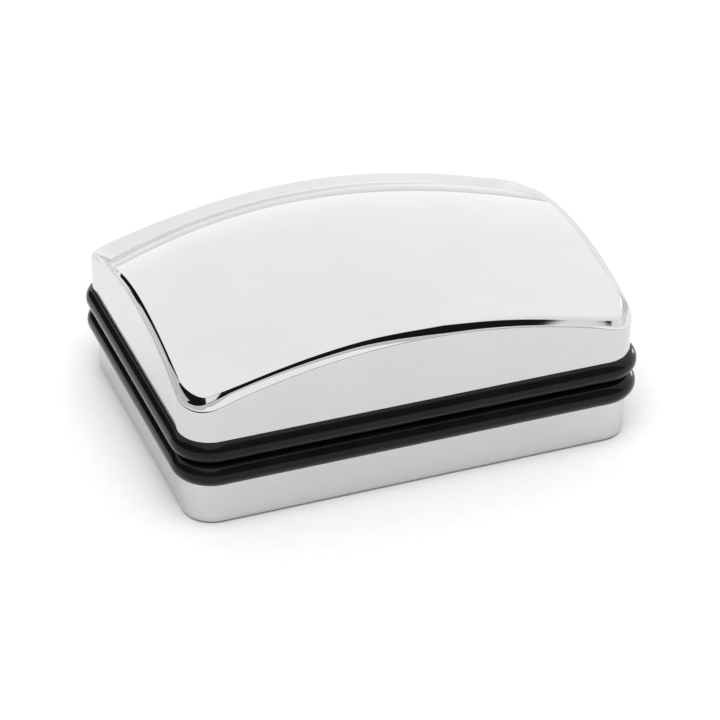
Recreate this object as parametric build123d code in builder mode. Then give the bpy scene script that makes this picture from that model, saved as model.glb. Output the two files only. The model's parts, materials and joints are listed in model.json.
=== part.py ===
from build123d import *
import os

# Hinged presentation box: pressed metal lid and base, each set into a half-round plastic frame.
# Millimetres. Origin at the centre of the base's underside, +X along the box, -Y the front, +Z up.

# Plan sizes
LENGTH = 80.0  # lid shell, end to end
WIDTH = 59.7  # lid shell, front to back
CORNER = 5.8  # plan radius of the lid shell's corners
BASE_INSET = 0.44  # how far the base shell stands inside the lid shell, each side
BEAD_PROUD = 1.25  # how far the frames' beads stand outside the lid shell

# Heights
BEAD_LOW = 7.56  # underside of the lower bead
PARTING = 11.92  # plane where lid and base meet, and height of the hinge axis
BEAD_HIGH = 16.28  # top of the upper bead
PARTING_GAP = 0.1
LONG_CREST = 27.85  # top edge of the long walls at their middle
END_CREST = 28.1  # top edge of the end walls at their middle
CORNER_CREST = 20.4  # top edge at the corners
PANEL_TOP = 33.4  # middle of the domed panel

# Sheet metal and frame walls
SHEET = 0.5
BEAD_ROUND = 2.1
SKIRT_WALL = 1.2
SKIRT_GAP = 0.06
SKIRT_LOW = 5.0
SKIRT_HIGH = 18.3
SHELL_GRIP = 1.3  # depth of a shell's edge inside its bead
SLOT_ROOM = 0.05
BASE_EDGE_ROUND = 0.9

# Lid top: channel inside the crest, and the raised panel
SIDE_CHANNEL_SLOPE = 0.374
END_CHANNEL_SLOPE = 0.8
SIDE_CHANNEL_REACH = 8.0
END_CHANNEL_REACH = 5.0
PANEL_LENGTH = 77.5
PANEL_WIDTH = 52.3
PANEL_CORNER = 3.5
DOME_RADIUS_ALONG = 135.0
DOME_RADIUS_ACROSS = 57.5

# Hinge
HINGE_Y = WIDTH / 2 + 0.25
HINGE_LENGTH = 36.0
KNUCKLES = 5
KNUCKLE_RADIUS = 1.0
KNUCKLE_GAP = 0.1
PIN_RADIUS = 0.45
BORE_RADIUS = 0.5
BARREL_ROOM = 1.25
LEAF = 0.5
LEAF_CLEAR = 0.07  # from the parting plane to a leaf's face
FLANGE_HEIGHT = 4.3
RIVET_RADIUS = 0.5
RIVET_HEAD_RADIUS = 1.0
RIVET_HEAD = 0.4
RIVET_REACH = 1.0
RIVET_PITCH = 10.0
RIVET_COUNT = 4

# Snap springs
SPRING = 0.3
SPRING_WIDTH = 4.0
SPRING_X = 23.0
SPRING_LOW = 7.0
SPRING_HIGH = 11.0
SPRING_BEND = 0.8
SPRING_TAIL = 9.4

# Insert and lining
INSERT_LENGTH = 74.6
INSERT_WIDTH = 53.8
INSERT_CORNER = 2.6
BOARD = 1.0
BOARD_LOW = 0.55
VELVET_TOP = 6.6
VELVET = 0.5
INSERT_NOTCH_LENGTH = 52.0
INSERT_NOTCH_DEPTH = 1.4
SLIT_LENGTH = 22.0
SLIT_WIDTH = 1.6
SLIT_X = 16.0
SLIT_FLOOR = 2.4
LID_BOARD = 0.8
LID_PAD_LOW = 17.0
LINING = 0.4
LINING_ROOM = 0.15

base_length = LENGTH - 2 * BASE_INSET
base_width = WIDTH - 2 * BASE_INSET
base_corner = CORNER - BASE_INSET
base_skirt_inset = BASE_INSET + SHEET + SKIRT_GAP
lid_skirt_inset = SHEET + SKIRT_GAP
base_skirt_inner_y = WIDTH / 2 - base_skirt_inset - SKIRT_WALL
lid_skirt_inner_y = WIDTH / 2 - lid_skirt_inset - SKIRT_WALL
base_frame_top = PARTING - PARTING_GAP / 2
lid_frame_bottom = PARTING + PARTING_GAP / 2
base_leaf_top = PARTING - LEAF_CLEAR
lid_leaf_bottom = PARTING + LEAF_CLEAR
base_rivet_z = PARTING - 2.3
lid_rivet_z = PARTING + 2.3


def outline(inset):
    """Rounded rectangle of the lid shell's plan, drawn inset on every side."""
    RectangleRounded(LENGTH - 2 * inset, WIDTH - 2 * inset, CORNER - inset)


def block(inset, low, high):
    """Upright block with the lid's plan, inset on every side."""
    with BuildPart() as body:
        with BuildSketch(Plane.XY.offset(low)):
            outline(inset)
        extrude(amount=high - low)
    return body.part


def arch_radius(half_span, rise):
    """Radius of an arc that rises by rise over half_span."""
    return (half_span**2 + rise**2) / (2 * rise)


def channel_drum(plane, half_span, crest, radius, slope, reach):
    """Drum whose rim carries the channel: high at both edges and sloping down towards the middle."""
    floor = crest - 25
    with BuildPart() as drum:
        with BuildSketch(plane):
            with BuildLine():
                Polyline(
                    (-half_span, floor),
                    (-half_span, crest),
                    (-half_span + reach, crest - slope * reach),
                    (half_span - reach, crest - slope * reach),
                    (half_span, crest),
                    (half_span, floor),
                    close=True,
                )
            make_face()
        revolve(axis=Axis((0, 0, crest - radius), plane.x_dir))
    return drum.part


def dome_drum(top):
    """Drum with a crowned rim: its top is the dome of the panel."""
    half_span = PANEL_WIDTH / 2 + 2
    edge = top - DOME_RADIUS_ACROSS + (DOME_RADIUS_ACROSS**2 - half_span**2) ** 0.5
    with BuildPart() as drum:
        with BuildSketch(Plane.YZ):
            with BuildLine():
                ThreePointArc((-half_span, edge), (0, top), (half_span, edge))
                Polyline((half_span, edge), (half_span, top - 30), (-half_span, top - 30), (-half_span, edge))
            make_face()
        revolve(axis=Axis((0, 0, top - DOME_RADIUS_ALONG), (0, 1, 0)))
    return drum.part


def lid_form(inset, low):
    """Solid body of the lid, every face moved in by inset."""
    half_length = LENGTH / 2 - inset
    half_width = WIDTH / 2 - inset
    long_radius = arch_radius(LENGTH / 2, LONG_CREST - CORNER_CREST) - inset
    end_radius = arch_radius(WIDTH / 2, END_CREST - CORNER_CREST) - inset
    long_drum = channel_drum(
        Plane.YZ, half_width, LONG_CREST - inset, long_radius, SIDE_CHANNEL_SLOPE, SIDE_CHANNEL_REACH
    )
    end_drum = channel_drum(
        Plane.XZ, half_length, END_CREST - inset, end_radius, END_CHANNEL_SLOPE, END_CHANNEL_REACH
    )
    dome = dome_drum(PANEL_TOP - inset)
    walls = block(inset, low, PANEL_TOP)
    with BuildPart() as panel:
        with BuildSketch(Plane.XY.offset(low)):
            RectangleRounded(PANEL_LENGTH - 2 * inset, PANEL_WIDTH - 2 * inset, PANEL_CORNER - inset)
        extrude(amount=PANEL_TOP + 1 - low)
        add(dome, mode=Mode.INTERSECT)
    with BuildPart() as form:
        add(long_drum)
        add(end_drum)
        add(walls, mode=Mode.INTERSECT)
        add(panel.part)
    return form.part


def bead(low, high):
    """Plate with a half-round edge all round."""
    with BuildPart() as plate:
        with BuildSketch(Plane.XY.offset(low)):
            outline(-BEAD_PROUD)
        extrude(amount=high - low)
        rims = plate.faces().filter_by(Plane.XY).edges()
        fillet(rims, BEAD_ROUND)
    return plate.part


def hinge_room(face_y, leaf_low, leaf_high):
    """Space that the hinge's barrel and one leaf take out of a frame."""
    length = HINGE_LENGTH + 0.6
    with BuildPart() as room:
        with Locations((0, HINGE_Y, PARTING)):
            Cylinder(BARREL_ROOM, length, rotation=(0, 90, 0))
        with Locations((0, (face_y + HINGE_Y) / 2, (leaf_low + leaf_high) / 2)):
            Box(length, HINGE_Y - face_y, leaf_high - leaf_low)
    return room.part


def rivets(face_y, height, shank_radius, head_radius, head_length, depth):
    """Row of rivets pointing out through a frame's back skirt, heads inside the box."""
    with BuildPart() as row:
        with BuildSketch(Plane.XZ.offset(-face_y)):
            with Locations((0, height)):
                with GridLocations(RIVET_PITCH, 0, RIVET_COUNT, 1):
                    Circle(shank_radius)
        extrude(amount=-depth)
        if head_length:
            with BuildSketch(Plane.XZ.offset(-face_y)):
                with Locations((0, height)):
                    with GridLocations(RIVET_PITCH, 0, RIVET_COUNT, 1):
                        Circle(head_radius)
            extrude(amount=head_length)
    return row.part


def knuckle_spans(first):
    """Centres and length of every second knuckle along the hinge."""
    pitch = HINGE_LENGTH / KNUCKLES
    centres = [-HINGE_LENGTH / 2 + pitch * (i + 0.5) for i in range(first, KNUCKLES, 2)]
    return centres, pitch - KNUCKLE_GAP


def make_base_shell():
    with BuildPart() as base_shell:
        with BuildSketch(Plane.XY):
            outline(BASE_INSET)
        extrude(amount=BEAD_LOW + SHELL_GRIP)
        fillet(base_shell.faces().sort_by(Axis.Z)[0].edges(), BASE_EDGE_ROUND)
        with BuildSketch(Plane.XY.offset(SHEET)):
            outline(BASE_INSET + SHEET)
        extrude(amount=BEAD_LOW + SHELL_GRIP, mode=Mode.SUBTRACT)
    base_shell.part.label = "base_shell"
    export_step(base_shell.part, "parts/base_shell.step")


def make_lid_shell():
    low = BEAD_HIGH - SHELL_GRIP
    outer = lid_form(0, low)
    inner = lid_form(SHEET, low - 1)
    with BuildPart() as lid_shell:
        add(outer)
        add(inner, mode=Mode.SUBTRACT)
    lid_shell.part.label = "lid_shell"
    export_step(lid_shell.part, "parts/lid_shell.step")


def make_base_frame():
    rim = bead(BEAD_LOW, base_frame_top)
    skirt = block(base_skirt_inset, SKIRT_LOW, base_frame_top)
    opening = block(base_skirt_inset + SKIRT_WALL, SKIRT_LOW - 1, PARTING + 1)
    slot_top = BEAD_LOW + SHELL_GRIP + SLOT_ROOM
    slot_outer = block(BASE_INSET - SLOT_ROOM, BEAD_LOW - 1, slot_top)
    slot_core = block(base_skirt_inset, BEAD_LOW - 1, slot_top)
    room = hinge_room(base_skirt_inner_y, base_leaf_top - LEAF, PARTING)
    holes = rivets(base_skirt_inner_y, base_rivet_z, RIVET_RADIUS, 0, 0, RIVET_REACH)
    slot = slot_outer - slot_core
    with BuildPart() as base_frame:
        add(rim)
        add(slot, mode=Mode.SUBTRACT)
        add(skirt)
        add(opening, mode=Mode.SUBTRACT)
        add(room, mode=Mode.SUBTRACT)
        add(holes, mode=Mode.SUBTRACT)
    base_frame.part.label = "base_frame"
    export_step(base_frame.part, "parts/base_frame.step")


def make_lid_frame():
    rim = bead(lid_frame_bottom, BEAD_HIGH)
    skirt = block(lid_skirt_inset, lid_frame_bottom, SKIRT_HIGH)
    opening = block(lid_skirt_inset + SKIRT_WALL, PARTING - 1, SKIRT_HIGH + 1)
    slot_low = BEAD_HIGH - SHELL_GRIP - SLOT_ROOM
    slot_outer = block(-SLOT_ROOM, slot_low, BEAD_HIGH + 1)
    slot_core = block(lid_skirt_inset, slot_low, BEAD_HIGH + 1)
    room = hinge_room(lid_skirt_inner_y, PARTING, lid_leaf_bottom + LEAF)
    holes = rivets(lid_skirt_inner_y, lid_rivet_z, RIVET_RADIUS, 0, 0, RIVET_REACH)
    slot = slot_outer - slot_core
    with BuildPart() as lid_frame:
        add(rim)
        add(slot, mode=Mode.SUBTRACT)
        add(skirt)
        add(opening, mode=Mode.SUBTRACT)
        add(room, mode=Mode.SUBTRACT)
        add(holes, mode=Mode.SUBTRACT)
    lid_frame.part.label = "lid_frame"
    export_step(lid_frame.part, "parts/lid_frame.step")


def leaf(face_y, low, flange_low, rivet_z, first_knuckle):
    """Hinge leaf: knuckles, a flat strip towards the box and a flange down or up the skirt's inner face."""
    centres, span = knuckle_spans(first_knuckle)
    holes = rivets(face_y - LEAF, rivet_z, RIVET_RADIUS, 0, 0, LEAF)
    with BuildPart() as plate:
        with Locations([(x, HINGE_Y, PARTING) for x in centres]):
            Cylinder(KNUCKLE_RADIUS, span, rotation=(0, 90, 0))
        strip_end = HINGE_Y - KNUCKLE_RADIUS - KNUCKLE_GAP * 2
        with BuildSketch(Plane.XY.offset(low)):
            with Locations((0, (face_y - LEAF + strip_end) / 2)):
                Rectangle(HINGE_LENGTH, strip_end - face_y + LEAF)
            for x in centres:
                with Locations((x, (strip_end + HINGE_Y) / 2)):
                    Rectangle(span, HINGE_Y - strip_end)
        extrude(amount=LEAF)
        with Locations((0, face_y - LEAF / 2, flange_low + FLANGE_HEIGHT / 2)):
            Box(HINGE_LENGTH, LEAF, FLANGE_HEIGHT)
        with Locations((0, HINGE_Y, PARTING)):
            Cylinder(BORE_RADIUS, HINGE_LENGTH + 2, rotation=(0, 90, 0), mode=Mode.SUBTRACT)
        add(holes, mode=Mode.SUBTRACT)
    return plate.part


def make_hinge():
    base_leaf = leaf(base_skirt_inner_y, base_leaf_top - LEAF, base_leaf_top - FLANGE_HEIGHT, base_rivet_z, 0)
    base_leaf.label = "base_hinge_leaf"
    export_step(base_leaf, "parts/base_hinge_leaf.step")
    lid_leaf = leaf(lid_skirt_inner_y, lid_leaf_bottom, lid_leaf_bottom, lid_rivet_z, 1)
    lid_leaf.label = "lid_hinge_leaf"
    export_step(lid_leaf, "parts/lid_hinge_leaf.step")
    with BuildPart() as hinge_pin:
        with Locations((0, HINGE_Y, PARTING)):
            Cylinder(PIN_RADIUS, HINGE_LENGTH, rotation=(0, 90, 0))
    hinge_pin.part.label = "hinge_pin"
    export_step(hinge_pin.part, "parts/hinge_pin.step")


def make_rivets():
    depth = LEAF + RIVET_REACH
    rows = {
        "base_leaf_rivets": (base_skirt_inner_y - LEAF, base_rivet_z),
        "lid_leaf_rivets": (lid_skirt_inner_y - LEAF, lid_rivet_z),
    }
    for name, (face_y, height) in rows.items():
        row = rivets(face_y, height, RIVET_RADIUS, RIVET_HEAD_RADIUS, RIVET_HEAD, depth)
        row.label = name
        export_step(row, f"parts/{name}.step")


def make_snap_springs():
    """Flat strip springs on the base skirt, one beyond each end of the hinge, bent over like a cane."""
    back = base_skirt_inner_y - SPRING / 2
    front = back - 2 * SPRING_BEND
    for side, name in ((-1, "snap_spring_left"), (1, "snap_spring_right")):
        centre = side * SPRING_X
        with BuildPart() as spring:
            with BuildSketch(Plane.YZ.offset(centre - SPRING_WIDTH / 2)):
                with BuildLine():
                    Line((back, SPRING_LOW), (back, SPRING_HIGH))
                    ThreePointArc(
                        (back, SPRING_HIGH), (back - SPRING_BEND, SPRING_HIGH + SPRING_BEND), (front, SPRING_HIGH)
                    )
                    Line((front, SPRING_HIGH), (front, SPRING_TAIL))
                    offset(amount=SPRING / 2, side=Side.BOTH)
                make_face()
            extrude(amount=SPRING_WIDTH)
        spring.part.label = name
        export_step(spring.part, f"parts/{name}.step")


def insert_layer(low, high, with_slits):
    """One layer of the insert, with the notch for the hinge and springs, and the two holding slits."""
    with BuildPart() as layer:
        with BuildSketch(Plane.XY.offset(low)):
            RectangleRounded(INSERT_LENGTH, INSERT_WIDTH, INSERT_CORNER)
            with Locations((0, INSERT_WIDTH / 2)):
                Rectangle(INSERT_NOTCH_LENGTH, 2 * INSERT_NOTCH_DEPTH, mode=Mode.SUBTRACT)
        extrude(amount=high - low)
        if with_slits:
            with BuildSketch(Plane.XY.offset(max(low, SLIT_FLOOR))):
                with Locations((-SLIT_X, 0), (SLIT_X, 0)):
                    SlotOverall(SLIT_LENGTH, SLIT_WIDTH, rotation=90)
            extrude(amount=high, mode=Mode.SUBTRACT)
    return layer.part


def make_insert():
    foam_low = BOARD_LOW + BOARD
    foam_top = VELVET_TOP - VELVET
    layers = {
        "insert_board": (BOARD_LOW, foam_low, False),
        "insert_foam": (foam_low, foam_top, True),
        "insert_velvet": (foam_top, VELVET_TOP, True),
    }
    for name, (low, high, with_slits) in layers.items():
        layer = insert_layer(low, high, with_slits)
        layer.label = name
        export_step(layer, f"parts/{name}.step")


def make_lid_lining():
    """Card on top of the lid frame's skirt, with the pad and its satin cover under it."""
    inside = lid_skirt_inset + SKIRT_WALL + LINING_ROOM
    layers = {
        "lid_board": (SHEET + LINING_ROOM, SKIRT_HIGH, SKIRT_HIGH + LID_BOARD),
        "lid_pad": (inside, LID_PAD_LOW, SKIRT_HIGH),
        "lid_lining": (inside, LID_PAD_LOW - LINING, LID_PAD_LOW),
    }
    for name, (inset, low, high) in layers.items():
        layer = block(inset, low, high)
        layer.label = name
        export_step(layer, f"parts/{name}.step")


os.makedirs("parts", exist_ok=True)
make_base_shell()
make_lid_shell()
make_base_frame()
make_lid_frame()
make_hinge()
make_rivets()
make_snap_springs()
make_insert()
make_lid_lining()
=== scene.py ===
import json
import math

import bmesh
import bpy
import numpy as np
from mathutils import Matrix, Vector


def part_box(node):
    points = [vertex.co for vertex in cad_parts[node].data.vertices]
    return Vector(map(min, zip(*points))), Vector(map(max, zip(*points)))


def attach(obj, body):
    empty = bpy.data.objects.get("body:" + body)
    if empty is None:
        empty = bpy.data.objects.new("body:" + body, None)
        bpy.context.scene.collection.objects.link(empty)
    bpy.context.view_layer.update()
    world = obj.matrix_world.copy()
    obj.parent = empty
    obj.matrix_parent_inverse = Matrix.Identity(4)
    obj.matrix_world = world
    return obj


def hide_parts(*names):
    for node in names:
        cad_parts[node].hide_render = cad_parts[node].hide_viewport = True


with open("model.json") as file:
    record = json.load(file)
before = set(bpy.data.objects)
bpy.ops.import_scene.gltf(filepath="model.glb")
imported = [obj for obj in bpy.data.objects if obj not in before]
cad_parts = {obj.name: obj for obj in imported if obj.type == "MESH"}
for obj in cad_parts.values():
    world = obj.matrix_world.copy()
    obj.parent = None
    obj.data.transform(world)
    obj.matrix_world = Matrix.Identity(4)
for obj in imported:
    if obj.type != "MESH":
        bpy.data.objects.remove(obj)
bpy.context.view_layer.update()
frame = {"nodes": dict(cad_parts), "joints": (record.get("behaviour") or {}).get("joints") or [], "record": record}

# ---------------------------------------------------------------- sizes, in millimetres
MM = 0.001
lid_low, lid_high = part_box("lid_shell")
_, base_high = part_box("base_shell")
bead_low, bead_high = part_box("base_frame")
cap_low, cap_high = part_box("lid_frame")
hinge = frame["joints"][0]

HALF_X = lid_high.x / MM
HALF_Y = lid_high.y / MM
CORNER = 5.8
SHEET = 0.5
LID_LOW = lid_low.z / MM
BASE_HALF_X = base_high.x / MM
BASE_HALF_Y = base_high.y / MM
BASE_INSET = 0.44  # how far the base shell stands inside the lid shell
BASE_CORNER = CORNER - BASE_INSET
BASE_TOP = base_high.z / MM
BASE_ROUND = 0.9
BASE_SUPPORT = 0.25  # from the bottom round up to the ring that keeps the wall's shading flat
BASE_FLOOR_SUPPORT = 0.4  # the same on the floor
PROUD = bead_high.x / MM - HALF_X
PIVOT_Y = hinge["pos_m"][1] / MM
PIVOT_Z = hinge["pos_m"][2] / MM

# Lid top: the crest of the wall, the valley inside it, the edge of the raised panel and its dome.
# Plans are (half length, half width, corner radius).
VALLEY_PLAN, EDGE_PLAN = (39.25, 26.6, 3.8), (38.7, 25.9, 3.4)
# How far the front of each goes forward on the left, and how much further on the right
VALLEY_AHEAD, VALLEY_ROLL_AHEAD = 1.02, 1.68
EDGE_AHEAD, EDGE_ROLL_AHEAD = 1.5, 0.9
BACK_NARROWING = 0.045  # share by which both narrow towards the back

CREST_TOP, CREST_X, CREST_Y = 35.46, 0.0046, 0.00855
BACK_RISE, BACK_CORNER_RISE = 0.27, 1.0
CREST_ROUND = 0.12
FRONT_CORNER_ROUND, BACK_ROUND, BACK_CORNER_ROUND = 0.3, 0.8, 1.0  # added to the crest's round
CREST_SUPPORT = 0.3  # from the crest's round down to the ring that keeps the wall's shading flat
VALLEY_DEPTH = 0.2  # the least below the crest
VALLEY_ROUND, VALLEY_BACK_ROUND = 0.1, 3.0
EDGE_ROUND, EDGE_ROLL_ROUND = 0.12, 1.4

PANEL_TOP = 33.4
DOME_X, DOME_Y, DOME_XY = 0.0035, 0.0087, 1.6e-6
FRONT_FULL, ROLL_FULL, FRONT_AT = 1.58, 0.75, 27.4  # height added at this distance ahead
END_FULL, END_AT, END_AHEAD_AT = 0.9, 38.7, 22.0
BACK_FALL, BACK_FALL_X, BACK_FALL_Y = 1.0, 36.0, 25.0
# Where the dome's rings begin and end, as shares of the way from the middle to the edge, and their number
PANEL_START, PANEL_END, PANEL_STEPS = 0.955, 0.001, 28

# Step from the valley up to the panel's edge: along the front, its right half, its left corner, the ends
FRONT_STEP, RIGHT_STEP, LEFT_CORNER_STEP = 0.38, 0.93, 0.8
END_STEP, END_AHEAD_STEP, BACK_STEP = 0.66, 0.2, 0.12

# Zones are (start, length) of a change that eases in along x or y
RISE_ZONE, RISE_CORNER_ZONE = (13, 16), (20, 20)
ROUND_ZONE, ROUND_CORNER_ZONE = (13, 14), (26, 14)
ROLL_ZONE = (-12, 20)
RIGHT_STEP_ZONE, LEFT_CORNER_STEP_ZONE = (-20, 28), (29, 7)
END_AHEAD_STEP_ZONE, BACK_STEP_ZONE = (0, 25), (12, 10)
NARROWING_ZONE = (11, 14)

# Frames, as distance outside the lid's wall and height
BEAD_BOTTOM, BEAD_TOP = 7.56, 16.28
BEAD_SUNK = 0.93  # from the lid's wall in to the middle of the bead's round
BASE_SLOT_FACE, BASE_SLOT_TOP = -0.39, 8.91
BASE_SKIRT_FACE, BASE_SKIRT_BACK = -1.0, -2.2
LID_SLOT_FACE, LID_SLOT_BOTTOM = 0.05, 14.93
LID_SKIRT_FACE, LID_SKIRT_BACK = -0.56, -1.76

# Room cut in the frames for the hinge
HINGE_ROOM_LENGTH, BARREL_ROOM, LEAF_ROOM = 36.6, 1.25, 0.05
CUT_PAST = 1  # how far a cutter goes past the face it opens
BASE_LEAF_FACE, BASE_LEAF_LOW = 27.65, 11.35
LID_LEAF_FACE, LID_LEAF_HIGH = 28.05, 12.49

# Insert: two holding slits, and a notch that clears the hinge's rivets and the springs
SLIT_X, SLIT_LENGTH, SLIT_WIDTH, SLIT_FLOOR = 16, 22, 1.6, 2.4
NOTCH_LOW, NOTCH_HIGH = (-26.0, 25.5, 0.5), (26.0, 27.5, 9)
CUTTER_TOP = 9

# Soft pieces: how far in from the CAD block's sides, corner radius, how far a face is below or above
# the block's, and the round of the edges
FOAM_IN, FOAM_CORNER, FOAM_DOWN, FOAM_EDGE = 0.25, 2.6, 0.3, 0.3
VELVET_IN, VELVET_CORNER, VELVET_DOWN, VELVET_EDGE = 0.1, 2.6, 0.9, 0.55
PAD_IN, PAD_CORNER, PAD_UP, PAD_EDGE = 0.3, 3.8, 0.25, 0.3
LINING_IN, LINING_CORNER, LINING_UP, LINING_EDGE = 0.1, 4.0, 0.1, 0.5
LINING_BACK = 0.7  # how far the lining's back reaches up into the pad's CAD block
CROWN_RISE = 0.35
VELVET_CROWN_DOWN = 0.4  # the velvet is crowned above this depth below the foam's CAD top
PUFF_VOXEL, PUFF_PRESSURE, PUFF_CAP, PUFF_FRAMES = 0.5, 4.0, 0.25, 20
SIM_SCALE = 10.0  # cloth works at ten times the size, where its defaults suit a pad

# Steps round a ring: each corner, each long side, each end
CORNER_STEPS, LONG_STEPS, END_STEPS = 24, 60, 44


# ---------------------------------------------------------------- rings and skins
def ring(half_x, half_y, radius):
    """Points of a rounded rectangle, each with its outward normal's angle, always in the same order."""
    radius = max(radius, 0.01)
    points = []
    corners = ((1, 1), (-1, 1), (-1, -1), (1, -1))
    for index, (side_x, side_y) in enumerate(corners):
        start = index * math.pi / 2
        centre_x, centre_y = side_x * (half_x - radius), side_y * (half_y - radius)
        for step in range(CORNER_STEPS + 1):
            angle = start + step / CORNER_STEPS * math.pi / 2
            x, y = centre_x + radius * math.cos(angle), centre_y + radius * math.sin(angle)
            points.append((x, y, angle))
        next_x, next_y = corners[(index + 1) % 4]
        end_angle = start + math.pi / 2
        x0, y0, _ = points[-1]
        x1 = next_x * (half_x - radius) + radius * math.cos(end_angle)
        y1 = next_y * (half_y - radius) + radius * math.sin(end_angle)
        count = LONG_STEPS if index % 2 == 0 else END_STEPS
        for step in range(1, count):
            share = step / count
            points.append((x0 + (x1 - x0) * share, y0 + (y1 - y0) * share, end_angle))
    return points


def plan_ring(plan, inset):
    """Ring of a (half length, half width, corner radius) plan, moved in by inset."""
    return ring(*(size - inset for size in plan))


def flat_ring(half_x, half_y, radius, z):
    """The ring's points at one height."""
    return [(x, y, z) for x, y, _ in ring(half_x, half_y, radius)]


def ease(value):
    value = min(max(value, 0), 1)
    return value * value * (3 - 2 * value)


def within(value, zone):
    """How far value is through a (start, length) zone, eased, from 0 to 1."""
    start, length = zone
    return ease((value - start) / length)


def side_share(angle):
    """1 where the ring faces front or back, 0 where it faces an end, easing round the corners."""
    return ease(math.asin(min(abs(math.sin(angle)), 1)) / (math.pi / 2))


def fillet_path(path, radii, steps=6, most=0.45):
    """Rounds the inner corners of a 3-D polyline, each with its own radius, in the same number of steps.

    No corner takes more than the share called most of the sides next to it."""
    out = [path[0]]
    for index in range(1, len(path) - 1):
        corner = path[index]
        back = path[index - 1] - corner
        ahead = path[index + 1] - corner
        half = back.angle(ahead) / 2
        reach = radii[index - 1] / math.tan(half)
        reach = min(reach, back.length * most, ahead.length * most)
        radius = reach * math.tan(half)
        back, ahead = back.normalized(), ahead.normalized()
        centre = corner + (back + ahead).normalized() * (radius / math.sin(half))
        first, last = corner + back * reach - centre, corner + ahead * reach - centre
        turn = first.angle(last)
        for step in range(steps + 1):
            share = step / steps
            spoke = first * math.sin((1 - share) * turn) + last * math.sin(share * turn)
            out.append(centre + spoke / math.sin(turn))
    out.append(path[-1])
    return out


def skin(name, rings, closed_profile=False):
    """Mesh object through rings of equal length, in millimetres, with its two ends capped or joined."""
    count = len(rings[0])
    mesh = bpy.data.meshes.new(name)
    verts = [(x * MM, y * MM, z * MM) for points in rings for (x, y, z) in points]
    faces = []
    spans = len(rings) if closed_profile else len(rings) - 1
    for row in range(spans):
        below, above = row * count, (row + 1) % len(rings) * count
        for i in range(count):
            j = (i + 1) % count
            faces.append((below + i, below + j, above + j, above + i))
    if not closed_profile:
        faces.append(tuple(range(count))[::-1])
        faces.append(tuple((len(rings) - 1) * count + i for i in range(count)))
    mesh.from_pydata(verts, [], faces)
    obj = bpy.data.objects.new(name, mesh)
    bpy.context.scene.collection.objects.link(obj)
    bm = bmesh.new()
    bm.from_mesh(mesh)
    bmesh.ops.recalc_face_normals(bm, faces=bm.faces)
    bm.to_mesh(mesh)
    bm.free()
    mesh.shade_smooth()
    return obj


def sharpen(obj, degrees=35):
    obj.data.set_sharp_from_angle(angle=math.radians(degrees))


def cut(obj, *tools):
    """Takes the tools' volume out of the piece and removes the tools."""
    for tool in tools:
        modifier = obj.modifiers.new("cut", "BOOLEAN")
        modifier.operation = "DIFFERENCE"
        modifier.solver = "EXACT"
        modifier.object = tool
        bpy.context.view_layer.objects.active = obj
        bpy.ops.object.modifier_apply(modifier=modifier.name)
        bpy.data.objects.remove(tool)


def bar(name, low, high):
    """Plain cutter box between two corners, in millimetres."""
    bm = bmesh.new()
    bmesh.ops.create_cube(bm, size=1)
    low, high = Vector(low) * MM, Vector(high) * MM
    for vert in bm.verts:
        vert.co = Vector((low[i] + (vert.co[i] + 0.5) * (high[i] - low[i]) for i in range(3)))
    mesh = bpy.data.meshes.new(name)
    bm.to_mesh(mesh)
    bm.free()
    obj = bpy.data.objects.new(name, mesh)
    bpy.context.scene.collection.objects.link(obj)
    return obj


def rod(name, radius, length, y, z):
    """Cutter rod along X, in millimetres."""
    bm = bmesh.new()
    bmesh.ops.create_cone(
        bm, cap_ends=True, segments=64, radius1=radius * MM, radius2=radius * MM, depth=length * MM
    )
    place = Matrix.Translation((0, y * MM, z * MM)) @ Matrix.Rotation(math.pi / 2, 4, "Y")
    bmesh.ops.transform(bm, matrix=place, verts=bm.verts)
    mesh = bpy.data.meshes.new(name)
    bm.to_mesh(mesh)
    bm.free()
    obj = bpy.data.objects.new(name, mesh)
    bpy.context.scene.collection.objects.link(obj)
    return obj


# ---------------------------------------------------------------- node materials
def material(name, **values):
    """New material with its Principled sockets set to constants."""
    mat = bpy.data.materials.new(name)
    mat.use_nodes = True
    shader = mat.node_tree.nodes["Principled BSDF"]
    for key, value in values.items():
        shader.inputs[key.replace("_", " ")].default_value = value
    return mat, mat.node_tree, shader


def coords(tree, scale=(1, 1, 1)):
    """Object coordinates, which are metres in the row frame, times scale."""
    place = tree.nodes.new("ShaderNodeTexCoord")
    mapping = tree.nodes.new("ShaderNodeMapping")
    mapping.inputs["Scale"].default_value = scale
    tree.links.new(place.outputs["Object"], mapping.inputs["Vector"])
    return mapping.outputs["Vector"]


def noise(tree, vector, scale, detail, roughness=0.5):
    node = tree.nodes.new("ShaderNodeTexNoise")
    node.inputs["Scale"].default_value = scale
    node.inputs["Detail"].default_value = detail
    node.inputs["Roughness"].default_value = roughness
    tree.links.new(vector, node.inputs["Vector"])
    return node.outputs["Fac"]


def spread(tree, value, low, high):
    """Maps the middle of a noise's range, 0.3 to 0.7, to low..high."""
    node = tree.nodes.new("ShaderNodeMapRange")
    node.inputs["From Min"].default_value = 0.3
    node.inputs["From Max"].default_value = 0.7
    node.inputs["To Min"].default_value = low
    node.inputs["To Max"].default_value = high
    tree.links.new(value, node.inputs["Value"])
    return node.outputs["Result"]


def ramp(tree, value, *stops):
    """Colour ramp through (position, colour) stops, given in rising order."""
    node = tree.nodes.new("ShaderNodeValToRGB")
    elements = node.color_ramp.elements
    elements.remove(elements[1])
    elements[0].position, elements[0].color = stops[0][0], (*stops[0][1], 1)
    for position, color in stops[1:]:
        elements.new(position).color = (*color, 1)
    tree.links.new(value, node.inputs["Fac"])
    return node.outputs["Color"]


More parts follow.
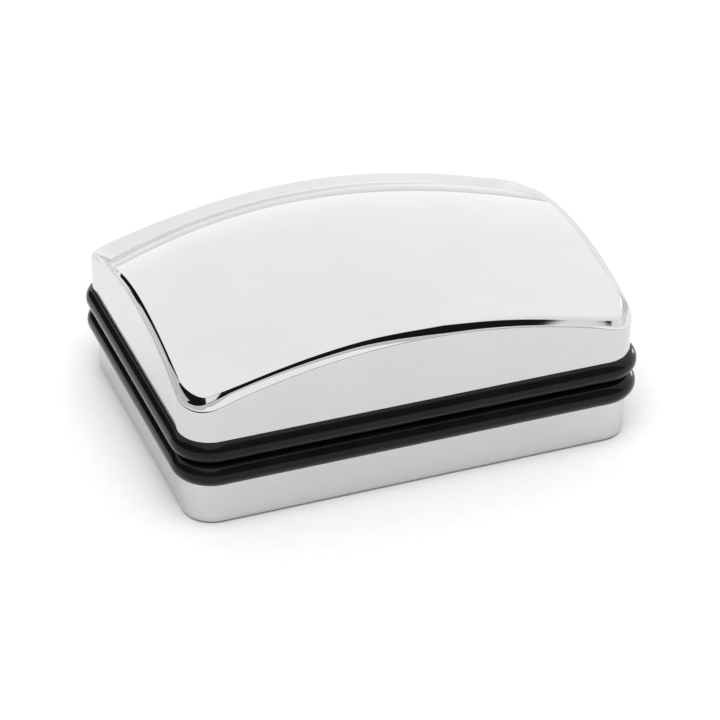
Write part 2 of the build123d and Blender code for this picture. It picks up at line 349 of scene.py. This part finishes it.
def math_node(tree, operation, *inputs):
    """Math node over inputs that are numbers or other nodes' outputs."""
    node = tree.nodes.new("ShaderNodeMath")
    node.operation = operation
    for socket, value in zip(node.inputs, inputs):
        if isinstance(value, (int, float)):
            socket.default_value = value
        else:
            tree.links.new(value, socket)
    return node.outputs[0]


def tint(tree, shader, value, *stops):
    """Base colour from a ramp over value."""
    tree.links.new(ramp(tree, value, *stops), shader.inputs["Base Color"])


def gloss(tree, shader, value, low, high):
    """Roughness from low to high over value."""
    tree.links.new(spread(tree, value, low, high), shader.inputs["Roughness"])


def bump(tree, shader, height, strength, distance):
    node = tree.nodes.new("ShaderNodeBump")
    node.inputs["Strength"].default_value = strength
    node.inputs["Distance"].default_value = distance
    tree.links.new(height, node.inputs["Height"])
    tree.links.new(node.outputs["Normal"], shader.inputs["Normal"])


def make_chrome():
    mat, tree, shader = material("chrome", Metallic=1.0, IOR=2.5)
    smudge = noise(tree, coords(tree), scale=90, detail=4)
    tint(tree, shader, smudge, (0.3, (0.59, 0.59, 0.595)), (0.7, (0.61, 0.61, 0.61)))
    fine = noise(tree, coords(tree), scale=420, detail=4, roughness=0.6)
    gloss(tree, shader, fine, 0.03, 0.055)
    ripple = noise(tree, coords(tree, (1, 1, 1.6)), scale=38, detail=1)
    bump(tree, shader, ripple, strength=0.10, distance=0.0004)
    return mat


def make_black():
    mat, tree, shader = material("black_plastic", IOR=1.46, Specular_IOR_Level=0.2)
    flow = noise(tree, coords(tree), scale=130, detail=4)
    tint(tree, shader, flow, (0.3, (0.004, 0.004, 0.0045)), (0.75, (0.008, 0.008, 0.0085)))
    fine = noise(tree, coords(tree), scale=600, detail=5, roughness=0.6)
    gloss(tree, shader, fine, 0.09, 0.16)
    sink = noise(tree, coords(tree), scale=160, detail=2)
    bump(tree, shader, sink, strength=0.06, distance=0.0003)
    return mat


def make_brushed(name, dark, light, rough_low, rough_high):
    mat, tree, shader = material(name, Metallic=1.0)
    grain = noise(tree, coords(tree, (60, 900, 900)), scale=1.5, detail=4, roughness=0.6)
    tint(tree, shader, grain, (0.3, dark), (0.7, light))
    gloss(tree, shader, grain, rough_low, rough_high)
    bump(tree, shader, grain, strength=0.15, distance=0.0001)
    return mat


def make_card():
    mat, tree, shader = material("card", Roughness=0.9)
    fibre = noise(tree, coords(tree, (1, 3, 1)), scale=700, detail=5, roughness=0.65)
    tint(tree, shader, fibre, (0.3, (0.20, 0.18, 0.155)), (0.7, (0.36, 0.33, 0.29)))
    bump(tree, shader, fibre, strength=0.3, distance=0.0002)
    return mat


def make_foam():
    mat, tree, shader = material("foam", Roughness=0.95)
    voronoi = tree.nodes.new("ShaderNodeTexVoronoi")
    voronoi.inputs["Scale"].default_value = 1400
    tree.links.new(coords(tree), voronoi.inputs["Vector"])
    cells = voronoi.outputs["Distance"]
    tint(tree, shader, cells, (0.05, (0.015, 0.015, 0.016)), (0.6, (0.07, 0.07, 0.075)))
    bump(tree, shader, cells, strength=0.6, distance=0.0003)
    return mat


def make_velvet():
    sheen = {"Sheen_Weight": 0.9, "Sheen_Roughness": 0.35, "Sheen_Tint": (0.55, 0.55, 0.6, 1)}
    mat, tree, shader = material("velvet", Roughness=0.9, IOR=1.3, **sheen)
    pile = noise(tree, coords(tree), scale=2600, detail=3, roughness=0.7)
    nap = spread(tree, noise(tree, coords(tree), scale=70, detail=3), 0.1, 0.5)
    both = math_node(tree, "MULTIPLY_ADD", pile, 0.45, nap)
    tint(tree, shader, both, (0.2, (0.004, 0.004, 0.005)), (0.85, (0.028, 0.028, 0.032)))
    bump(tree, shader, pile, strength=0.5, distance=0.00025)
    return mat


def make_satin():
    mat, tree, shader = material("satin", Sheen_Weight=0.4, Sheen_Roughness=0.3, IOR=1.45)
    warp = tree.nodes.new("ShaderNodeTexWave")
    warp.wave_type = "BANDS"
    warp.bands_direction = "DIAGONAL"
    warp.inputs["Scale"].default_value = 1100
    warp.inputs["Distortion"].default_value = 0.6
    tree.links.new(coords(tree), warp.inputs["Vector"])
    shade = noise(tree, coords(tree), scale=60, detail=3)
    tint(tree, shader, shade, (0.3, (0.70, 0.69, 0.655)), (0.7, (0.80, 0.79, 0.76)))
    gloss(tree, shader, shade, 0.34, 0.46)
    bump(tree, shader, warp.outputs["Fac"], strength=0.2, distance=0.0001)
    return mat


MATERIALS = {
    "chrome_shell": make_chrome(),
    "black_bead": make_black(),
    "hinge_steel": make_brushed("nickel_steel", (0.50, 0.50, 0.51), (0.68, 0.68, 0.69), 0.22, 0.38),
    "spring_steel": make_brushed("spring_steel", (0.30, 0.32, 0.37), (0.46, 0.47, 0.50), 0.18, 0.30),
    "card": make_card(),
    "foam": make_foam(),
    "velvet": make_velvet(),
    "satin": make_satin(),
}


def finish_piece(obj, slot, body, *nodes):
    """Gives the piece its material, its body and the CAD nodes it stands for."""
    obj.data.materials.clear()
    obj.data.materials.append(MATERIALS[slot])
    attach(obj, body)
    if nodes:
        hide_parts(*nodes)
    return obj


# ---------------------------------------------------------------- chrome shells
def crest_height(x, y):
    rise = BACK_RISE + BACK_CORNER_RISE * within(abs(x), RISE_CORNER_ZONE)
    return CREST_TOP - CREST_X * x * x - CREST_Y * y * y + rise * within(y, RISE_ZONE)


def crest_round(x, y, angle):
    """Radius of the crest's outer edge: crisp along the front and ends, soft along the back."""
    if y < 0:
        return CREST_ROUND + FRONT_CORNER_ROUND * abs(math.sin(2 * angle))
    soft = BACK_ROUND + BACK_CORNER_ROUND * within(abs(x), ROUND_CORNER_ZONE)
    return CREST_ROUND + soft * within(y, ROUND_ZONE)


def front_roll(x):
    """1 on the right of the front, where the panel rolls over to the crest, 0 on the left."""
    return within(x, ROLL_ZONE)


def dome_height(x, y):
    """Height of the raised panel: fuller towards its front and ends, lower at its two back corners."""
    ahead, behind = max(-y, 0), max(y, 0)
    height = PANEL_TOP - DOME_X * x * x - DOME_Y * y * y - DOME_XY * x * x * y * y
    height += (FRONT_FULL + ROLL_FULL * front_roll(x)) * (ahead / FRONT_AT) ** 3
    height += END_FULL * (x / END_AT) ** 8 * (ahead / END_AHEAD_AT) ** 2
    return height - BACK_FALL * (x / BACK_FALL_X) ** 4 * (behind / BACK_FALL_Y) ** 4


def step_height(x, y, angle):
    """How far the panel's edge stands above the valley round it."""
    side = side_share(angle)
    along_front = FRONT_STEP + RIGHT_STEP * within(x, RIGHT_STEP_ZONE)
    along_front += LEFT_CORNER_STEP * within(-x, LEFT_CORNER_STEP_ZONE)
    along_side = along_front if y < 0 else BACK_STEP
    along_end = END_STEP + END_AHEAD_STEP * within(-y, END_AHEAD_STEP_ZONE)
    height = side * along_side + (1 - side) * along_end
    return height + (BACK_STEP - height) * within(y, BACK_STEP_ZONE)


def shape_ring(points, ahead, roll_ahead):
    """Moves a ring's front forward, more where the panel rolls over, and draws its back corners in."""
    out = []
    for x, y, angle in points:
        forward = side_share(angle) * (ahead + roll_ahead * front_roll(x)) if y < 0 else 0
        narrow = 1 - BACK_NARROWING * within(y, NARROWING_ZONE)
        out.append((x * narrow, y - forward, angle))
    return out


def lid_column(w, v, e, inset):
    """Path up the wall, over its crest, down to the valley and up to the panel, with rounded corners."""
    crest_z = crest_height(w[0], w[1]) - inset
    edge_z = dome_height(e[0], e[1]) - inset
    valley_z = min(edge_z - step_height(*v), crest_z - VALLEY_DEPTH)
    start = (e[0] * PANEL_START, e[1] * PANEL_START)
    path = [
        Vector((w[0], w[1], LID_LOW)),
        Vector((w[0], w[1], crest_z)),
        Vector((v[0], v[1], valley_z)),
        Vector((e[0], e[1], edge_z)),
        Vector((*start, dome_height(*start) - inset)),
    ]
    front = side_share(w[2]) if w[1] < 0 else 0
    behind = side_share(w[2]) if w[1] > 0 else 0
    valley_round = VALLEY_ROUND + VALLEY_BACK_ROUND * behind
    edge_round = EDGE_ROUND + EDGE_ROLL_ROUND * front * front_roll(e[0])
    column = fillet_path(path, (crest_round(*w), valley_round, edge_round))
    column.insert(1, column[1] + (column[0] - column[1]).normalized() * CREST_SUPPORT)
    return column


def lid_rings(inset):
    """Rings from the edge of the lid's wall to the middle of its panel, every face moved in by inset."""
    wall = plan_ring((HALF_X, HALF_Y, CORNER), inset)
    valley = shape_ring(plan_ring(VALLEY_PLAN, inset), VALLEY_AHEAD, VALLEY_ROLL_AHEAD)
    edge = shape_ring(plan_ring(EDGE_PLAN, inset), EDGE_AHEAD, EDGE_ROLL_AHEAD)
    columns = [lid_column(w, v, e, inset) for w, v, e in zip(wall, valley, edge)]
    rows = [[tuple(point) for point in row] for row in zip(*columns)]
    for step in range(1, PANEL_STEPS + 1):
        share = PANEL_START * max(1 - step / PANEL_STEPS, PANEL_END)
        inner = [(x * share, y * share) for x, y, _ in edge]
        rows.append([(x, y, dome_height(x, y) - inset) for x, y in inner])
    return rows


def make_lid_shell():
    outside = lid_rings(0)
    inside = lid_rings(SHEET)
    obj = skin("lid_shell_skin", inside[::-1] + outside)
    sharpen(obj, degrees=50)
    return finish_piece(obj, "chrome_shell", "lid", "lid_shell")


def quarter_turn(steps):
    """(1 - cos, 1 - sin) of angles from 0 to 90 degrees."""
    angles = [step / steps * math.pi / 2 for step in range(steps + 1)]
    return [(1 - math.cos(angle), 1 - math.sin(angle)) for angle in angles]


def base_rings(inset, floor):
    """Rings from the wall's top edge down round the bottom edge to the middle of the floor."""
    half_x, half_y, corner = BASE_HALF_X - inset, BASE_HALF_Y - inset, BASE_CORNER - inset
    radius = BASE_ROUND - inset
    levels = [(0, BASE_TOP), (0, floor + radius + BASE_SUPPORT)]
    levels += [(radius * inward, floor + radius * up) for inward, up in quarter_turn(steps=8)]
    levels += [(radius + BASE_FLOOR_SUPPORT, floor), (corner, floor)]
    return [flat_ring(half_x - inward, half_y - inward, corner - inward, z) for inward, z in levels]


def make_base_shell():
    outside = base_rings(0, 0)
    inside = base_rings(SHEET, SHEET)
    obj = skin("base_shell_skin", inside[::-1] + outside)
    sharpen(obj, degrees=50)
    return finish_piece(obj, "chrome_shell", "base", "base_shell")


# ---------------------------------------------------------------- black frames
def bead_arc(centre_z, half_height, start, end, steps=40):
    """Half-round bead in (distance outside the lid wall, height), from angle start to end in degrees."""
    half_width = PROUD + BEAD_SUNK
    points = []
    for step in range(steps + 1):
        angle = math.radians(start + (end - start) * step / steps)
        points.append((half_width * math.cos(angle) - BEAD_SUNK, centre_z + half_height * math.sin(angle)))
    return points


def slot_angle(face):
    """Angle at which the bead's round meets the outer face of the slot that holds a shell's edge."""
    return math.degrees(math.acos((BEAD_SUNK + face) / (PROUD + BEAD_SUNK)))


def frame_rings(profile):
    return [flat_ring(HALF_X + out, HALF_Y + out, CORNER + out, z) for out, z in profile]


def soften(points, size=0.12, most=0.4):
    """Cuts a straight-sided profile's corners back by size, or by the share called most of a short side."""
    out = []
    count = len(points)
    for index, point in enumerate(points):
        here = Vector(point)
        for other in (points[index - 1], points[(index + 1) % count]):
            step = Vector(other) - here
            reach = min(size, step.length * most)
            out.append(tuple(here + step.normalized() * reach))
    return out


def hinge_cutters(leaf_face_y, leaf_low, leaf_high):
    half = HINGE_ROOM_LENGTH / 2
    barrel = rod("barrel_room", BARREL_ROOM, HINGE_ROOM_LENGTH, PIVOT_Y, PIVOT_Z)
    recess = bar("leaf_room", (-half, leaf_face_y - LEAF_ROOM, leaf_low), (half, PIVOT_Y, leaf_high))
    return barrel, recess


def make_base_frame():
    top, skirt_low = bead_high.z / MM, bead_low.z / MM
    centre, half = (top + BEAD_BOTTOM) / 2, (top - BEAD_BOTTOM) / 2
    inner = [
        (BASE_SLOT_FACE, BASE_SLOT_TOP),
        (BASE_SKIRT_FACE, BASE_SLOT_TOP),
        (BASE_SKIRT_FACE, skirt_low),
        (BASE_SKIRT_BACK, skirt_low),
        (BASE_SKIRT_BACK, top),
        (-BEAD_SUNK, top),
    ]
    profile = bead_arc(centre, half, 90, -slot_angle(BASE_SLOT_FACE)) + soften(inner)[:-2]
    obj = skin("base_frame_moulding", frame_rings(profile), closed_profile=True)
    cut(obj, *hinge_cutters(BASE_LEAF_FACE, BASE_LEAF_LOW, top + CUT_PAST))
    sharpen(obj)
    return finish_piece(obj, "black_bead", "base", "base_frame")


def make_lid_frame():
    bottom, skirt_top = cap_low.z / MM, cap_high.z / MM
    centre, half = (BEAD_TOP + bottom) / 2, (BEAD_TOP - bottom) / 2
    inner = [
        (LID_SLOT_FACE, LID_SLOT_BOTTOM),
        (LID_SKIRT_FACE, LID_SLOT_BOTTOM),
        (LID_SKIRT_FACE, skirt_top),
        (LID_SKIRT_BACK, skirt_top),
        (LID_SKIRT_BACK, bottom),
        (-BEAD_SUNK, bottom),
    ]
    profile = bead_arc(centre, half, -90, slot_angle(LID_SLOT_FACE)) + soften(inner)[:-2]
    obj = skin("lid_frame_moulding", frame_rings(profile), closed_profile=True)
    cut(obj, *hinge_cutters(LID_LEAF_FACE, bottom - CUT_PAST, LID_LEAF_HIGH))
    sharpen(obj)
    return finish_piece(obj, "black_bead", "lid", "lid_frame")


# ---------------------------------------------------------------- soft pieces
def rounded_slab(name, half_x, half_y, corner, low, high, edge):
    """Closed slab with rounded edges; each flat face has one more ring, well in from its edge."""
    middle = min(half_x, half_y) * 0.6
    levels = [(middle, low)]
    levels += [(edge * inward, low + edge * up) for up, inward in quarter_turn(steps=4)]
    levels += [(edge * inward, high - edge * down) for inward, down in quarter_turn(steps=4)]
    levels += [(middle, high)]
    rows = []
    for inward, z in levels:
        rows.append(flat_ring(half_x - inward, half_y - inward, max(corner - inward, 0.3), z))
    return skin(name, rows)


def inflate(obj):
    """Blows the pad up as cloth under pressure and moves no point further than PUFF_CAP."""
    start = np.empty(len(obj.data.vertices) * 3)
    obj.data.vertices.foreach_get("co", start)
    cloth = obj.modifiers.new("cloth", "CLOTH")
    cloth.settings.quality = 6
    cloth.settings.use_pressure = True
    cloth.settings.uniform_pressure_force = PUFF_PRESSURE
    cloth.settings.effector_weights.gravity = 0
    cloth.point_cache.frame_start = 1
    cloth.point_cache.frame_end = PUFF_FRAMES
    for number in range(1, PUFF_FRAMES + 1):
        bpy.context.scene.frame_set(number)
    shaped = obj.evaluated_get(bpy.context.evaluated_depsgraph_get()).to_mesh()
    moved = np.empty(len(shaped.vertices) * 3)
    shaped.vertices.foreach_get("co", moved)
    obj.modifiers.remove(cloth)
    step = (moved - start).reshape(-1, 3)
    length = np.linalg.norm(step, axis=1, keepdims=True)
    step *= np.minimum(1, PUFF_CAP * MM * SIM_SCALE / np.maximum(length, 1e-9))
    obj.data.vertices.foreach_set("co", (start.reshape(-1, 3) + step).ravel())
    bpy.context.scene.frame_set(1)


def puff(obj):
    obj.data.transform(Matrix.Scale(SIM_SCALE, 4))
    remesh = obj.modifiers.new("remesh", "REMESH")
    remesh.mode = "VOXEL"
    remesh.voxel_size = PUFF_VOXEL * MM * SIM_SCALE
    bpy.context.view_layer.objects.active = obj
    bpy.ops.object.modifier_apply(modifier=remesh.name)
    inflate(obj)
    obj.data.transform(Matrix.Scale(1 / SIM_SCALE, 4))
    smooth = obj.modifiers.new("smooth", "SMOOTH")
    smooth.iterations = 4
    bpy.ops.object.modifier_apply(modifier=smooth.name)
    obj.data.shade_smooth()


def crown(obj, half_x, half_y, base_z, up=1):
    """Lifts the pad's face towards its middle."""
    for vert in obj.data.vertices:
        x, y, z = vert.co / MM
        if (z - base_z) * up > 0:
            share_x = 1 - min(abs(x) / half_x, 1) ** 4
            share_y = 1 - min(abs(y) / half_y, 1) ** 4
            vert.co.z += up * CROWN_RISE * share_x * share_y * MM


def slit_cutter(x, steps=12):
    """Upright cutter with round ends, along Y."""
    half, radius = SLIT_LENGTH / 2, SLIT_WIDTH / 2
    outline = []
    for middle, start in ((half - radius, 0), (radius - half, math.pi)):
        for step in range(steps + 1):
            angle = start + step / steps * math.pi
            outline.append((x + radius * math.cos(angle), middle + radius * math.sin(angle)))
    return skin("slit", [[(px, py, z) for px, py in outline] for z in (SLIT_FLOOR, CUTTER_TOP)])


def make_insert():
    low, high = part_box("insert_foam")
    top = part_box("insert_velvet")[1].z / MM
    half_x, half_y, low_z, high_z = high.x / MM, high.y / MM, low.z / MM, high.z / MM
    foam = rounded_slab(
        "foam_block", half_x - FOAM_IN, half_y - FOAM_IN, FOAM_CORNER, low_z, high_z - FOAM_DOWN, FOAM_EDGE
    )
    velvet_x, velvet_y = half_x - VELVET_IN, half_y - VELVET_IN
    velvet = rounded_slab(
        "velvet_cover", velvet_x, velvet_y, VELVET_CORNER, high_z - VELVET_DOWN, top, VELVET_EDGE
    )
    crown(velvet, half_x, half_y, high_z - VELVET_CROWN_DOWN)
    puff(velvet)
    for piece in (foam, velvet):
        cut(piece, slit_cutter(-SLIT_X), slit_cutter(SLIT_X), bar("notch", NOTCH_LOW, NOTCH_HIGH))
        sharpen(piece, degrees=40)
    finish_piece(foam, "foam", "base", "insert_foam")
    finish_piece(velvet, "velvet", "base", "insert_velvet")


def make_lining():
    low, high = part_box("lid_pad")
    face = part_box("lid_lining")[0].z / MM
    half_x, half_y, low_z, high_z = high.x / MM, high.y / MM, low.z / MM, high.z / MM
    pad = rounded_slab(
        "lid_foam", half_x - PAD_IN, half_y - PAD_IN, PAD_CORNER, low_z + PAD_UP, high_z, PAD_EDGE
    )
    lining_x, lining_y = half_x - LINING_IN, half_y - LINING_IN
    front, behind = face + LINING_UP, low_z + LINING_BACK
    lining = rounded_slab("satin_lining", lining_x, lining_y, LINING_CORNER, front, behind, LINING_EDGE)
    crown(lining, half_x, half_y, low_z, up=-1)
    puff(lining)
    finish_piece(pad, "foam", "lid", "lid_pad")
    finish_piece(lining, "satin", "lid", "lid_lining")


make_lid_shell()
make_base_shell()
make_base_frame()
make_lid_frame()
make_insert()
make_lining()

slots = {entry["node"]: entry["material_slot"] for entry in frame["record"]["subparts"]}
for node, obj in frame["nodes"].items():
    obj.data.materials.clear()
    obj.data.materials.append(MATERIALS[slots[node]])


# ---------------------------------------------------------------- camera, floor and light
CAMERA_AZIMUTH, CAMERA_ELEVATION = math.radians(20.842), math.radians(31.188)
CAMERA_LENS = 131.15
# Millimetres from the origin: away, to the right and up, as the camera sees them
CAMERA_BACK, CAMERA_RIGHT, CAMERA_UP = 460.84, 0.698, 6.01
FLOOR_HALF = 0.9  # metres

# The studio by direction, in degrees from the front (-Y), positive to the right (+X). Below the sine
# of height in DARK_TOP it is unlit. Above that it has the level in BRIGHTNESS.
DARK_TOP = (
    (-180, 0.0), (-164, 0.0), (-156, 0.5), (-120, 0.5), (-100, 0.75), (-48, 0.75),
    (-30, 0.6), (8, 0.75), (36, 0.86), (46, 0.7), (62, 0.1), (110, 0.0),
)
BRIGHTNESS = (
    (-180, 1.3), (-140, 1.3), (-90, 1.3), (-20, 1.3), (40, 1.1),
    (70, 1.1), (110, 1.38), (150, 1.35), (170, 1.3),
)
HORIZON_LIFT = 0.12  # added to the height, so that a DARK_TOP of 0 leaves even the horizon lit
DARK_EDGE = (-0.02, 0.06)
OVERHEAD_LEVEL, OVERHEAD_BLEND = 1.3, (0.5, 0.95)
UNLIT_LEVEL = 0.012
CAMERA_SEES = 1.0
DIFFUSE_SHARE = 0.6  # share of the studio that lights dull surfaces; the lamps do the rest

# Lamps aimed at the origin: name, place and size in metres, power in watts, whether the chrome mirrors it
LAMPS = (
    ("overhead", (-0.15, -0.35, 0.95), 0.9, 10.5, False),
    ("backdrop", (0.15, 0.8, 0.5), 0.7, 0.8, False),
    ("window", (0.55, 0.25, 0.06), 0.09, 0.25, True),
)


def make_camera():
    level = math.cos(CAMERA_ELEVATION)
    back = Vector(
        (-math.sin(CAMERA_AZIMUTH) * level, -math.cos(CAMERA_AZIMUTH) * level, math.sin(CAMERA_ELEVATION))
    )
    right = (-back).cross(Vector((0, 0, 1))).normalized()
    up = right.cross(-back)
    data = bpy.data.cameras.new("camera")
    data.sensor_width = 36
    data.lens = CAMERA_LENS
    camera = bpy.data.objects.new("camera", data)
    bpy.context.scene.collection.objects.link(camera)
    camera.matrix_world = Matrix((right, up, back)).transposed().to_4x4()
    camera.location = (back * CAMERA_BACK + right * CAMERA_RIGHT + up * CAMERA_UP) * MM
    bpy.context.scene.camera = camera
    bpy.context.scene.view_settings.view_transform = "Standard"


def make_floor():
    mesh = bpy.data.meshes.new("floor")
    corners = ((-1, -1), (1, -1), (1, 1), (-1, 1))
    mesh.from_pydata([(x * FLOOR_HALF, y * FLOOR_HALF, 0) for x, y in corners], [], [(0, 1, 2, 3)])
    floor = bpy.data.objects.new("floor", mesh)
    bpy.context.scene.collection.objects.link(floor)
    mat, tree, shader = material("paper_floor", Roughness=0.9, Specular_IOR_Level=0.1)
    fibre = noise(tree, coords(tree), scale=300, detail=3)
    tint(tree, shader, fibre, (0.3, (0.80, 0.80, 0.80)), (0.7, (0.82, 0.82, 0.82)))
    mesh.materials.append(mat)


def smooth_range(tree, value, low, high):
    """0 below low and 1 above high, easing between them."""
    node = tree.nodes.new("ShaderNodeMapRange")
    node.interpolation_type = "SMOOTHSTEP"
    node.inputs["From Min"].default_value = low
    node.inputs["From Max"].default_value = high
    tree.links.new(value, node.inputs["Value"])
    return node.outputs["Result"]


def round_ramp(tree, turn, stops):
    """Value by direction, from (degrees from the front, value) stops."""
    return ramp(tree, turn, *((0.5 + degrees / 360, (value, value, value)) for degrees, value in stops))


def studio_level(tree):
    """Level of the studio by direction: unlit low down in front and on the left, lit elsewhere."""
    place = tree.nodes.new("ShaderNodeTexCoord")
    split = tree.nodes.new("ShaderNodeSeparateXYZ")
    tree.links.new(place.outputs["Generated"], split.inputs[0])
    x, y, z = split.outputs
    turn = math_node(tree, "ARCTAN2", x, math_node(tree, "MULTIPLY", y, -1.0))
    turn = math_node(tree, "MULTIPLY_ADD", turn, 0.5 / math.pi, 0.5)
    height = math_node(tree, "ADD", math_node(tree, "MAXIMUM", z, 0.0), HORIZON_LIFT)
    dark_top = math_node(tree, "MULTIPLY", round_ramp(tree, turn, DARK_TOP), 1 + HORIZON_LIFT)
    lit = smooth_range(tree, math_node(tree, "SUBTRACT", height, dark_top), *DARK_EDGE)
    around = round_ramp(tree, turn, BRIGHTNESS)
    gap = math_node(tree, "SUBTRACT", OVERHEAD_LEVEL, around)
    overhead = smooth_range(tree, z, *OVERHEAD_BLEND)
    bright = math_node(tree, "MULTIPLY_ADD", gap, overhead, around)
    return math_node(tree, "ADD", math_node(tree, "MULTIPLY", bright, lit), UNLIT_LEVEL)


def make_world():
    """Studio that the pieces mirror; straight from the camera it is plain white."""
    world = bpy.data.worlds.new("studio")
    bpy.context.scene.world = world
    world.use_nodes = True
    tree = world.node_tree
    tree.nodes.clear()
    paths = tree.nodes.new("ShaderNodeLightPath")
    seen = tree.nodes.new("ShaderNodeMix")
    seen.data_type = "FLOAT"
    tree.links.new(paths.outputs["Is Camera Ray"], seen.inputs[0])
    tree.links.new(studio_level(tree), seen.inputs[2])
    seen.inputs[3].default_value = CAMERA_SEES
    fill = math_node(tree, "MULTIPLY_ADD", paths.outputs["Is Diffuse Ray"], DIFFUSE_SHARE - 1, 1.0)
    shader = tree.nodes.new("ShaderNodeBackground")
    shader.inputs["Color"].default_value = (1, 1, 1, 1)
    tree.links.new(math_node(tree, "MULTIPLY", seen.outputs[0], fill), shader.inputs["Strength"])
    output = tree.nodes.new("ShaderNodeOutputWorld")
    tree.links.new(shader.outputs[0], output.inputs["Surface"])


def make_light(name, place, size, power, mirrored):
    data = bpy.data.lights.new(name, "AREA")
    data.size = size
    data.energy = power
    light = bpy.data.objects.new(name, data)
    bpy.context.scene.collection.objects.link(light)
    light.location = place
    light.rotation_euler = Vector(place).to_track_quat("Z", "Y").to_euler()
    light.visible_glossy = mirrored


make_camera()
make_floor()
make_world()
for lamp in LAMPS:
    make_light(*lamp)
